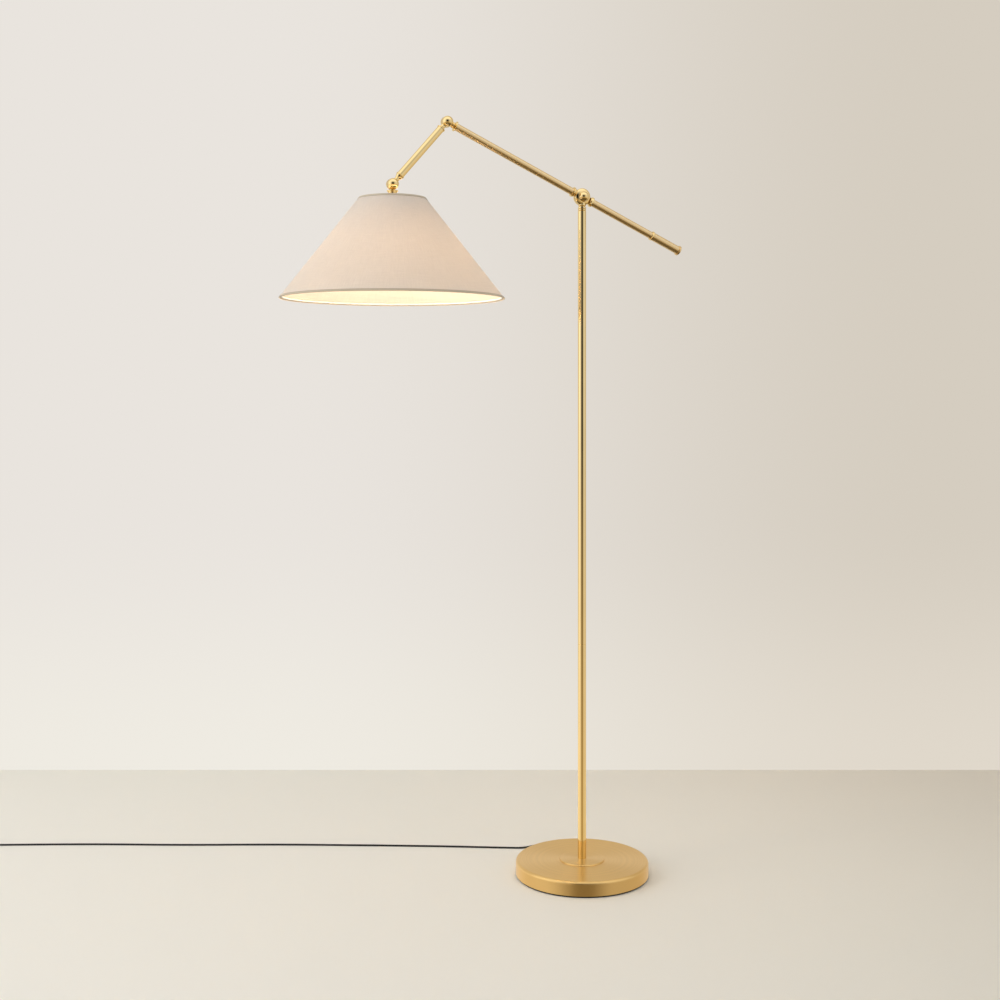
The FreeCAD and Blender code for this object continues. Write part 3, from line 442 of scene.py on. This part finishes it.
def fibre(name):
    """Pressed fibre of the friction discs and the socket's liner."""
    finish = Finish(name)
    flecks = finish.noise(finish.where, 0.0012, 5.0)
    colour = finish.blend(finish.spread(flecks, 0, 1), (0.09, 0.055, 0.03, 1), (0.16, 0.11, 0.06, 1))
    finish.set(Base_Color=colour,
               Roughness=0.8)
    return finish.material


def white_enamel(name):
    finish = Finish(name)
    cloud = finish.noise(finish.where, 0.006)
    colour = finish.blend(finish.spread(cloud, 0, 1), (0.78, 0.77, 0.74, 1), (0.86, 0.85, 0.82, 1))
    finish.set(Base_Color=colour,
               Roughness=finish.spread(cloud, 0.25, 0.4))
    return finish.material


def bulb_frost(name):
    """Frosted glass, lit from inside, that lets the light behind it out."""
    look = bpy.context.scene.lamp_finishes
    finish = Finish(name)
    z = finish.apart(finish.where)[2]
    level = finish.spread(z, 1.0, 0.55, shade_joint.z - bulb_drop, shade_joint.z - bulb_drop + 0.05)
    warm = finish.blend(level, shaded(look.glow, 0.8), (1.0, 0.93, 0.80, 1.0))
    finish.set(Base_Color=(0.93, 0.92, 0.89, 1), Roughness=0.4, Emission_Color=warm, Emission_Strength=2.2)
    clear = finish.add("ShaderNodeBsdfTransparent").outputs[0]
    shadow = finish.add("ShaderNodeLightPath").outputs["Is Shadow Ray"]
    finish.show(finish.mixed(shadow, finish.shader.outputs[0], clear))
    return finish.material


def lit_through(finish, colour, share, normal=None):
    """Let a share of the light pass through a thin sheet."""
    glow = finish.add("ShaderNodeBsdfTranslucent")
    finish.feed(glow.inputs["Color"], colour)
    if normal:
        finish.feed(glow.inputs["Normal"], normal)
    finish.show(finish.mixed(share, finish.shader.outputs[0], glow.outputs[0]))


def backing(name, colour, through):
    """Smooth white sheet that the linen is laminated to."""
    finish = Finish(name)
    cloud = finish.noise(finish.where, 0.02)
    tint = finish.blend(finish.spread(cloud, 0, 1), shaded(colour, 0.97), shaded(colour, 1.0))
    finish.set(Base_Color=tint, Roughness=0.6)
    lit_through(finish, tint, through)
    return finish.material


def cloth(name, colour, through, thread):
    """Plain-woven linen that lets some light through. The piece's UV map is in metres."""
    finish = Finish(name)
    place = finish.add("ShaderNodeUVMap", uv_map="Weave").outputs[0]
    u, v = finish.apart(place)[:2]
    pull = finish.maths("MULTIPLY", finish.noise(place, thread * 9, 2.0), thread * 1.5)
    across = finish.maths("MULTIPLY", finish.maths("ADD", u, pull), math.pi / thread)
    down = finish.maths("MULTIPLY", finish.maths("ADD", v, pull), math.pi / thread)
    warp = finish.maths("ABSOLUTE", finish.maths("SINE", across))
    weft = finish.maths("ABSOLUTE", finish.maths("SINE", down))
    over = finish.maths("MULTIPLY", finish.maths("SINE", across), finish.maths("SINE", down))
    over = finish.spread(over, 0, 1, -0.2, 0.2)
    weave = finish.maths("ADD", finish.maths("MULTIPLY", over, warp),
                         finish.maths("MULTIPLY", finish.maths("SUBTRACT", 1.0, over), weft))
    slub_up = finish.noise(finish.vectors("MULTIPLY", place, (1.0, 0.06, 1.0)), thread * 2.2, 2.0)
    slub_round = finish.noise(finish.vectors("MULTIPLY", place, (0.06, 1.0, 1.0)), thread * 2.2, 2.0)
    slub = finish.maths("MULTIPLY", finish.maths("ADD", slub_up, slub_round), 0.5)
    tone = finish.maths("ADD", finish.maths("MULTIPLY", weave, 0.35), finish.maths("MULTIPLY", slub, 0.65))
    tint = finish.blend(finish.spread(tone, 0, 1, 0.3, 0.75), shaded(colour, 0.88), shaded(colour, 1.04))
    finish.set(Base_Color=tint, Roughness=0.9, Sheen_Weight=0.15, Specular_IOR_Level=0.2)
    normal = finish.bump(finish.maths("ADD", weave, slub), thread * 0.25, 0.5)
    if through:
        # Painted shade: the light through the cloth is cut to a share at the top, nearest the bulb, to even
        # out its glow down the slope.
        level = finish.spread(v, painted_top_shade_share, 1.0, even_from, even_to)
        warm = finish.vectors("MULTIPLY", tint, bpy.context.scene.lamp_finishes.warmth)
        even = finish.blend(level, (0, 0, 0, 1), warm)
        lit_through(finish, even, through, normal)
    return finish.material


def plain_stage(name, rows, up, low, high, backdrop=False):
    """Smooth floor or wall with painted light and shade: its colour changes slowly from left to right and
    from low to high.

    A backdrop shows this painted colour as its own glow to the camera and in gloss, and only from the front.
    """
    finish = Finish(name)
    right = finish.vectors("DOT_PRODUCT", finish.where, seen_from_camera(1, 0, 0))
    right = finish.spread(right, 0, 1, -0.75, 0.95, "SMOOTHSTEP")
    rise = finish.spread(finish.vectors("DOT_PRODUCT", finish.where, up), 0, 1, low, high, "SMOOTHSTEP")
    colour = finish.blend(rise, finish.blend(right, *rows[0]), finish.blend(right, *rows[1]))
    finish.set(Base_Color=colour, Roughness=0.85, Specular_IOR_Level=0.2)
    if backdrop:
        # Painted light: the backdrop glows with its graded colour instead of taking the lamps' light.
        path = finish.add("ShaderNodeLightPath").outputs
        seen = finish.maths("MAXIMUM", path["Is Camera Ray"],
                            finish.maths("MAXIMUM", path["Is Glossy Ray"], path["Is Transmission Ray"]))
        backdrop_painted_glow = finish.add("ShaderNodeEmission")
        finish.feed(backdrop_painted_glow.inputs["Color"], colour)
        front = finish.mixed(seen, finish.shader.outputs[0], backdrop_painted_glow.outputs[0])
        behind = finish.add("ShaderNodeNewGeometry").outputs["Backfacing"]
        finish.show(finish.mixed(behind, front, finish.add("ShaderNodeBsdfTransparent").outputs[0]))
    return finish.material


# ---------------------------------------------------------------- camera

class LAMP_OT_camera(bpy.types.Operator):
    """Stand the camera where the picture was taken from"""
    bl_idname = "lamp.camera"
    bl_label = "Camera"

    def execute(self, context):
        data = bpy.data.cameras.new("Camera")
        camera = bpy.data.objects.new("Camera", data)
        context.scene.collection.objects.link(camera)
        data.sensor_width = 36.0
        data.lens = 49.64
        data.shift_y = -0.106
        camera.location = (-1.2613, -2.3325, 0.922)
        camera.rotation_euler = (math.radians(90), 0, -view_turn)
        context.scene.camera = camera
        return {"FINISHED"}


# ---------------------------------------------------------------- cord

# Along the cord's heading, aside from it and above the floor, to the middle of the cord
floor_route = [
    (0.0794, 0.1556, 0.0062),
    (0.0934, 0.1545, 0.0034),
    (0.1110, 0.1492, 0.0018),
    (0.1360, 0.1500, 0.0018),
    (0.1770, 0.1524, 0.0018),
    (0.2310, 0.1564, 0.0018),
    (0.2880, 0.1597, 0.0018),
    (0.3460, 0.1622, 0.0018),
    (0.4040, 0.1646, 0.0018),
    (0.4610, 0.1659, 0.0018),
    (0.5180, 0.1679, 0.0018),
    (0.5760, 0.1693, 0.0018),
    (0.6330, 0.1698, 0.0018),
    (0.6910, 0.1693, 0.0018),
    (0.7490, 0.1682, 0.0018),
    (0.8060, 0.1680, 0.0018),
    (0.8640, 0.1689, 0.0018),
    (0.9210, 0.1706, 0.0018),
    (0.9780, 0.1716, 0.0018),
    (1.0350, 0.1715, 0.0018),
    (1.0900, 0.1703, 0.0018),
    (1.1410, 0.1689, 0.0018),
    (1.1840, 0.1680, 0.0018),
]
gland_tip = Vector((0, 0.153, 0.009))
gland_straight = 0.012
coil_lead = 1.218
coil_aside = 0.168
coil_inner = 0.0122
coil_tuck = 0.0006
coil_pitch = 0.00416
half_turns_in = 9
half_turns_out = 8
points_per_half_turn = 8
plug_gap = 0.046
plug_height = 0.008
cord_rest = 0.0018


def over_floor(along, aside, height):
    ahead = Vector((math.cos(cord_heading), math.sin(cord_heading), 0))
    beside = Vector((math.sin(cord_heading), -math.cos(cord_heading), 0))
    return ahead * along + beside * aside + Vector((0, 0, height))


def coil_stations():
    """Radius and height where each half turn of the coil starts."""
    stations = []
    for i in range(half_turns_in + half_turns_out + 2):
        climbed = i > half_turns_in
        turns = i - half_turns_in - 1 if climbed else half_turns_in - i
        radius = coil_inner + coil_pitch / 2 * turns - (coil_tuck if turns == 0 else 0)
        stations.append((radius, cord_rest + (coil_pitch if climbed else 0)))
    return stations


def coil_route(diameter):
    """Points of the put-away coil: in to its smallest turn, then out again one layer up."""
    stations = coil_stations()
    centre = (coil_lead + diameter, coil_aside - stations[0][0])
    outset = 1 / math.cos(math.pi / (2 * points_per_half_turn))
    points = [over_floor(coil_lead, coil_aside, cord_rest)]
    for i, ((radius, height), (next_radius, next_height)) in enumerate(zip(stations, stations[1:])):
        for step in range(points_per_half_turn):
            share = (step + 0.5) / points_per_half_turn
            turn = math.pi * (i + share)
            reach = (radius + (next_radius - radius) * share) * outset
            rise = height + (next_height - height) * share
            along = centre[0] + reach * math.sin(turn)
            aside = centre[1] + reach * math.cos(turn)
            points.append(over_floor(along, aside, rise))
    radius, height = stations[-1]
    points.append(over_floor(centre[0] + diameter, centre[1] + radius, height))
    return points


def cord_points(diameter):
    """The whole route, from the gland to the plug."""
    points = [gland_tip, gland_tip + Vector((0, gland_straight, 0))]
    points += [over_floor(*point) for point in floor_route]
    points += coil_route(diameter)
    end = points[-1]
    plug = end + over_floor(plug_gap, 0, 0)
    plug.z = plug_height
    level = Vector((plug.x - end.x, plug.y - end.y, 0)) / 3
    points += [end + level, plug - level, plug]
    return points


class LAMP_OT_cord(bpy.types.Operator):
    """Lay the cord over the floor and wind its spare length"""
    bl_idname = "lamp.cord"
    bl_label = "Cord"

    def execute(self, context):
        sizes = context.scene.cord_sizes
        look = context.scene.lamp_finishes
        points = cord_points(sizes.diameter)
        curve = bpy.data.curves.new("cord", "CURVE")
        curve.dimensions = "3D"
        curve.bevel_depth = sizes.diameter / 2
        curve.bevel_resolution = 5
        curve.resolution_u = 6
        curve.use_fill_caps = True
        spline = curve.splines.new("NURBS")
        spline.points.add(len(points) - 1)
        for knot, point in zip(spline.points, points):
            knot.co = (*point, 1.0)
        spline.order_u = 3
        spline.use_endpoint_u = True
        cord = bpy.data.objects.new("cord", curve)
        context.scene.collection.objects.link(cord)
        curve.materials.append(matt_black("Cord insulation", look.cord, 0.0008, 0.32))
        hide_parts("cord_run", "cord_coil", "cord_tail")
        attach(cord, "stand")
        return {"FINISHED"}


# ---------------------------------------------------------------- metal and small pieces

class LAMP_OT_metal(bpy.types.Operator):
    """Finish the brass, the steel, the rubber and the plastic"""
    bl_idname = "lamp.metal"
    bl_label = "Metal and small pieces"

    def execute(self, context):
        look = context.scene.lamp_finishes
        dress(polished_brass("Polished brass"),
              "pole_lower_tube", "pole_upper_tube", "pole_cap", "swivel_neck", "pivot_screw", "grip_ring",
              "elbow_arm_half", "elbow_screw", "elbow_link_half", "link_tube", "shade_link_half",
              "shade_screw", "shade_head_half", "socket_cap", "socket_shell", "arm_hub")
        dress(turned_brass("Spun brass"), "base_cover", "foot_plate")
        dress(drawn_brass("Arm brass"), "arm_front_tube", "arm_rear_tube", "grip_sleeve", "grip_cap")
        dress(bright_steel("Plated steel"),
              "base_rod", "rod_washer", "rod_nut", "pole_foot_bush", "pole_coupling", "spring_washer",
              "spigot_nut", "cap_nut", "bulb_cap", "screw_shell", "plug_pins")
        dress(cast_iron("Cast iron"), "base_weight")
        dress(matt_black("Rubber", (0.02, 0.02, 0.02), 0.0006, 0.7), "base_pad", "cord_gland")
        dress(matt_black("Lead insulation", look.cord, 0.0008, 0.35), "inner_lead", "arm_lead", "link_lead")
        dress(matt_black("Moulded plastic", (0.018, 0.018, 0.018), 0.0004, 0.42), "plug_body", "socket_core",
              "switch_knob", "fitter_nut")
        dress(fibre("Pressed fibre"),
              "thrust_washer", "pivot_disc", "elbow_disc", "shade_disc", "socket_liner")
        dress(white_enamel("White enamel"), "shade_frame", "shade_rim_wire")
        dress(bulb_frost("Frosted glass"), "bulb_glass")
        return {"FINISHED"}


# ---------------------------------------------------------------- shade

def shade_radius(sizes, level):
    share = (level - sizes.drop) / sizes.height
    return sizes.top_radius + (sizes.rim_radius - sizes.top_radius) * share


def slant(sizes):
    return math.hypot(sizes.height, sizes.rim_radius - sizes.top_radius)


def weave_map(piece, sizes):
    """UVs in metres: round the shade, and down its slope."""
    mesh = piece.data
    for old in list(mesh.uv_layers):
        mesh.uv_layers.remove(old)
    layer = mesh.uv_layers.new(name="Weave")
    steep = slant(sizes) / sizes.height
    middle = (sizes.top_radius + sizes.rim_radius) / 2
    for face in mesh.polygons:
        turn = math.atan2(face.center.y - shade_joint.y, face.center.x - shade_joint.x)
        for corner in face.loop_indices:
            point = mesh.vertices[mesh.loops[corner].vertex_index].co
            angle = math.atan2(point.y - shade_joint.y, point.x - shade_joint.x)
            angle -= 2 * math.pi * round((angle - turn) / (2 * math.pi))
            layer.data[corner].uv = (angle * middle, (shade_joint.z - point.z) * steep)


def cone_skin(name, sizes, high, low, outset, thickness):
    """A thin cone between two levels under the joint, outset from the shade's own outer face."""
    deselect()
    lean = math.atan2(sizes.rim_radius - sizes.top_radius, sizes.height)
    wide = outset / math.cos(lean)
    bpy.ops.mesh.primitive_cone_add(
        vertices=sizes.sides, radius1=shade_radius(sizes, low) + wide,
        radius2=shade_radius(sizes, high) + wide, depth=low - high, end_fill_type="NOTHING",
        location=(shade_joint.x, shade_joint.y, shade_joint.z - (high + low) / 2))
    skin = settle(named(name))
    modify(skin, "SOLIDIFY", thickness=thickness, offset=-1.0, use_even_offset=True, material_offset=1)
    return finish_mesh(skin)


class LAMP_OT_shade(bpy.types.Operator):
    """Stretch the linen over its two wires and fold tape over its edges"""
    bl_idname = "lamp.shade"
    bl_label = "Shade"

    def execute(self, context):
        sizes = context.scene.shade_sizes
        look = context.scene.lamp_finishes
        top, rim = sizes.drop, sizes.drop + sizes.height
        linen = cone_skin("shade_linen", sizes, top + edge_inset, rim - edge_inset, 0.0, sizes.cloth)
        weave_map(linen, sizes)
        wear(linen, cloth("Linen", look.linen, look.through, sizes.thread),
             backing("Backing", look.lining, look.through))
        for name, high, low in (("shade_tape_rim", rim - sizes.tape_width, rim),
                                ("shade_tape_top", top, top + sizes.tape_width)):
            tape = cone_skin(name, sizes, high, low, sizes.tape_thickness,
                             sizes.cloth + 2 * sizes.tape_thickness)
            weave_map(tape, sizes)
            wear(tape, cloth(name.replace("_", " ").capitalize(), look.tape, 0, sizes.thread * 0.8))
            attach(tape, "head")
        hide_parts("shade_skin")
        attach(linen, "head")
        return {"FINISHED"}


# ---------------------------------------------------------------- stage

# Colours near and far, then low and high, each from left to right as the camera sees them
# Painted light and shade on the floor: its corners differ in colour only to set how bright and how warm each
# part shows under these lamps.
floor_colours_painted_light = [
    ((0.92, 0.90, 0.83, 1), (0.90, 0.86, 0.76, 1)),
    ((0.88, 0.86, 0.79, 1), (0.92, 0.86, 0.75, 1)),
]
# Painted light and shade on the backdrop: lighter low down and on the left, darker high up and on the right,
# as the studio's lamps fall on it.
wall_colours_painted_light = [
    ((0.863, 0.831, 0.761, 1), (0.745, 0.686, 0.597, 1)),
    ((0.815, 0.776, 0.730, 1), (0.665, 0.610, 0.527, 1)),
]
floor_fade = (-0.6, 0.73)      # towards the camera, and the wall's foot
wall_fade = (0, 0.65)          # heights
wall_distance = 0.734          # behind the pole
wall_size = (12, 8)
floor_size = (12, 12)
lit_middle = (-0.2, 0, 0.8)    # what the soft lamps point at
dark_gap = 0.015               # the studio's level behind the camera, in polished metal

def stage_plane(name, size, place, turn, material):
    deselect()
    bpy.ops.mesh.primitive_plane_add(size=1, location=place, rotation=turn)
    plane = named(name)
    plane.scale = (*size, 1)
    settle(plane)
    wear(plane, material)
    return plane


def soft_lamp(name, power, size, place, target):
    """Large soft lamp that lights the object but doesn't show in its gloss."""
    data = bpy.data.lights.new(name, "AREA")
    data.shape = "RECTANGLE"
    data.size, data.size_y = size
    data.energy = power
    lamp = bpy.data.objects.new(name, data)
    lamp.location = place
    lamp.rotation_euler = (Vector(target) - Vector(place)).to_track_quat("-Z", "Y").to_euler()
    lamp.visible_glossy = False
    bpy.context.scene.collection.objects.link(lamp)


def studio_world(level):
    """Even light all round for the object, and in its gloss a studio with a bright and a dim side."""
    world = bpy.data.worlds.new("World")
    world.use_nodes = True
    nodes = Nodes(world.node_tree)
    way = nodes.add("ShaderNodeTexCoord").outputs["Generated"]
    right = nodes.vectors("DOT_PRODUCT", way, seen_from_camera(1, 0, 0))
    near = nodes.vectors("DOT_PRODUCT", way, seen_from_camera(0, -1, 0))
    height = nodes.apart(way)[2]
    around = nodes.maths("ARCTAN2", right, near)
    stops = [(-180, level.bright_side * 0.6), (-130, level.bright_side), (-60, level.bright_side * 0.9),
             (-42, level.bright_side * 0.65), (-12, dark_gap), (12, dark_gap),
             (45, level.dim_side), (180, level.dim_side)]
    studio = stops[0][1]
    for (start, before), (end, after) in zip(stops, stops[1:]):
        step = nodes.spread(around, 0, after - before, math.radians(start), math.radians(end))
        studio = nodes.maths("ADD", studio, step)
    overhead = nodes.spread(height, 0, 1, 0.35, 0.8)
    studio = nodes.maths("ADD", nodes.maths("MULTIPLY", studio, nodes.maths("SUBTRACT", 1.0, overhead)),
                         nodes.maths("MULTIPLY", overhead, level.overhead))
    studio = nodes.maths("MULTIPLY", studio, nodes.spread(height, 1, 0, 0.0, -0.52))
    boards = nodes.maths("MULTIPLY", nodes.spread(height, 0, 1, -0.03, -0.30),
                         nodes.spread(height, 1, 0.3, -0.34, -0.7))
    seen = nodes.vectors("ADD", nodes.vectors("MULTIPLY", studio, (0.98, 0.98, 1.0)),
                         nodes.vectors("MULTIPLY", boards, level.boards))
    glossy = nodes.add("ShaderNodeLightPath").outputs["Is Glossy Ray"]
    plain = tuple(level.world * channel for channel in (0.97, 0.98, 1.0))
    nodes.feed(world.node_tree.nodes["Background"].inputs["Color"], nodes.blend(glossy, (*plain, 1), seen))
    return world


class LAMP_OT_stage(bpy.types.Operator):
    """Set up a pale floor and wall, soft lamps and the bulb's own light"""
    bl_idname = "lamp.stage"
    bl_label = "Stage"

    def execute(self, context):
        level = context.scene.stage_light
        look = context.scene.lamp_finishes
        scene = context.scene
        scene.view_settings.view_transform = "Standard"
        floor = plain_stage("Stage floor", floor_colours_painted_light, seen_from_camera(0, 1, 0), *floor_fade)
        stage_plane("stage_floor", floor_size, (0, 0, 0), (0, 0, 0), floor).visible_glossy = False
        wall = plain_stage("Stage wall", wall_colours_painted_light, (0, 0, 1), *wall_fade, backdrop=True)
        upright = (math.radians(90), 0, -view_turn)
        middle_of_wall = seen_from_camera(0, wall_distance, wall_size[1] / 2)
        stage_plane("stage_wall", wall_size, middle_of_wall, upright, wall)
        soft_lamp("Key", level.key, (2.4, 3.0), seen_from_camera(-3.0, -1.2, 1.8), lit_middle)
        soft_lamp("Fill", level.fill, (2.0, 2.6), seen_from_camera(2.5, -2.1, 1.5), lit_middle)
        soft_lamp("Top", level.top, (2.4, 2.4), seen_from_camera(0, -0.3, 3.0), lit_middle)
        bulb = bpy.data.lights.new("Bulb light", "POINT")
        bulb.energy = level.bulb
        bulb.color = look.glow
        bulb.shadow_soft_size = bulb_glow_radius
        holder = bpy.data.objects.new("Bulb light", bulb)
        holder.location = shade_joint + seen_from_camera(*bulb_glow_aside, -bulb_glow_drop)
        holder.visible_glossy = False
        scene.collection.objects.link(holder)
        scene.world = studio_world(level)
        return {"FINISHED"}


# ---------------------------------------------------------------- panel and running

class LAMP_PT_panel(bpy.types.Panel):
    """Everything that this add-on makes"""
    bl_idname = "LAMP_PT_panel"
    bl_label = "Floor lamp"
    bl_space_type = "VIEW_3D"
    bl_region_type = "UI"
    bl_category = "Floor lamp"

    def draw(self, context):
        for group in ("lamp_finishes", "shade_sizes", "cord_sizes", "stage_light"):
            box = self.layout.box()
            for name in getattr(context.scene, group).__annotations__:
                box.prop(getattr(context.scene, group), name)
        for operator in operators:
            self.layout.operator(operator.bl_idname)


groups = {
    "lamp_finishes": LampFinishes,
    "shade_sizes": ShadeSizes,
    "cord_sizes": CordSizes,
    "stage_light": StageLight,
}
operators = (LAMP_OT_camera, LAMP_OT_cord, LAMP_OT_metal, LAMP_OT_shade, LAMP_OT_stage)


def register():
    for kind in (*groups.values(), *operators, LAMP_PT_panel):
        bpy.utils.register_class(kind)
    for name, kind in groups.items():
        setattr(bpy.types.Scene, name, PointerProperty(type=kind))


def unregister():
    for name in groups:
        delattr(bpy.types.Scene, name)
    for kind in (LAMP_PT_panel, *reversed(operators), *reversed(groups.values())):
        bpy.utils.unregister_class(kind)


def main():
    register()
    bpy.ops.lamp.camera()
    bpy.ops.lamp.cord()
    bpy.ops.lamp.metal()
    bpy.ops.lamp.shade()
    bpy.ops.lamp.stage()


if __name__ == "__main__":
    main()
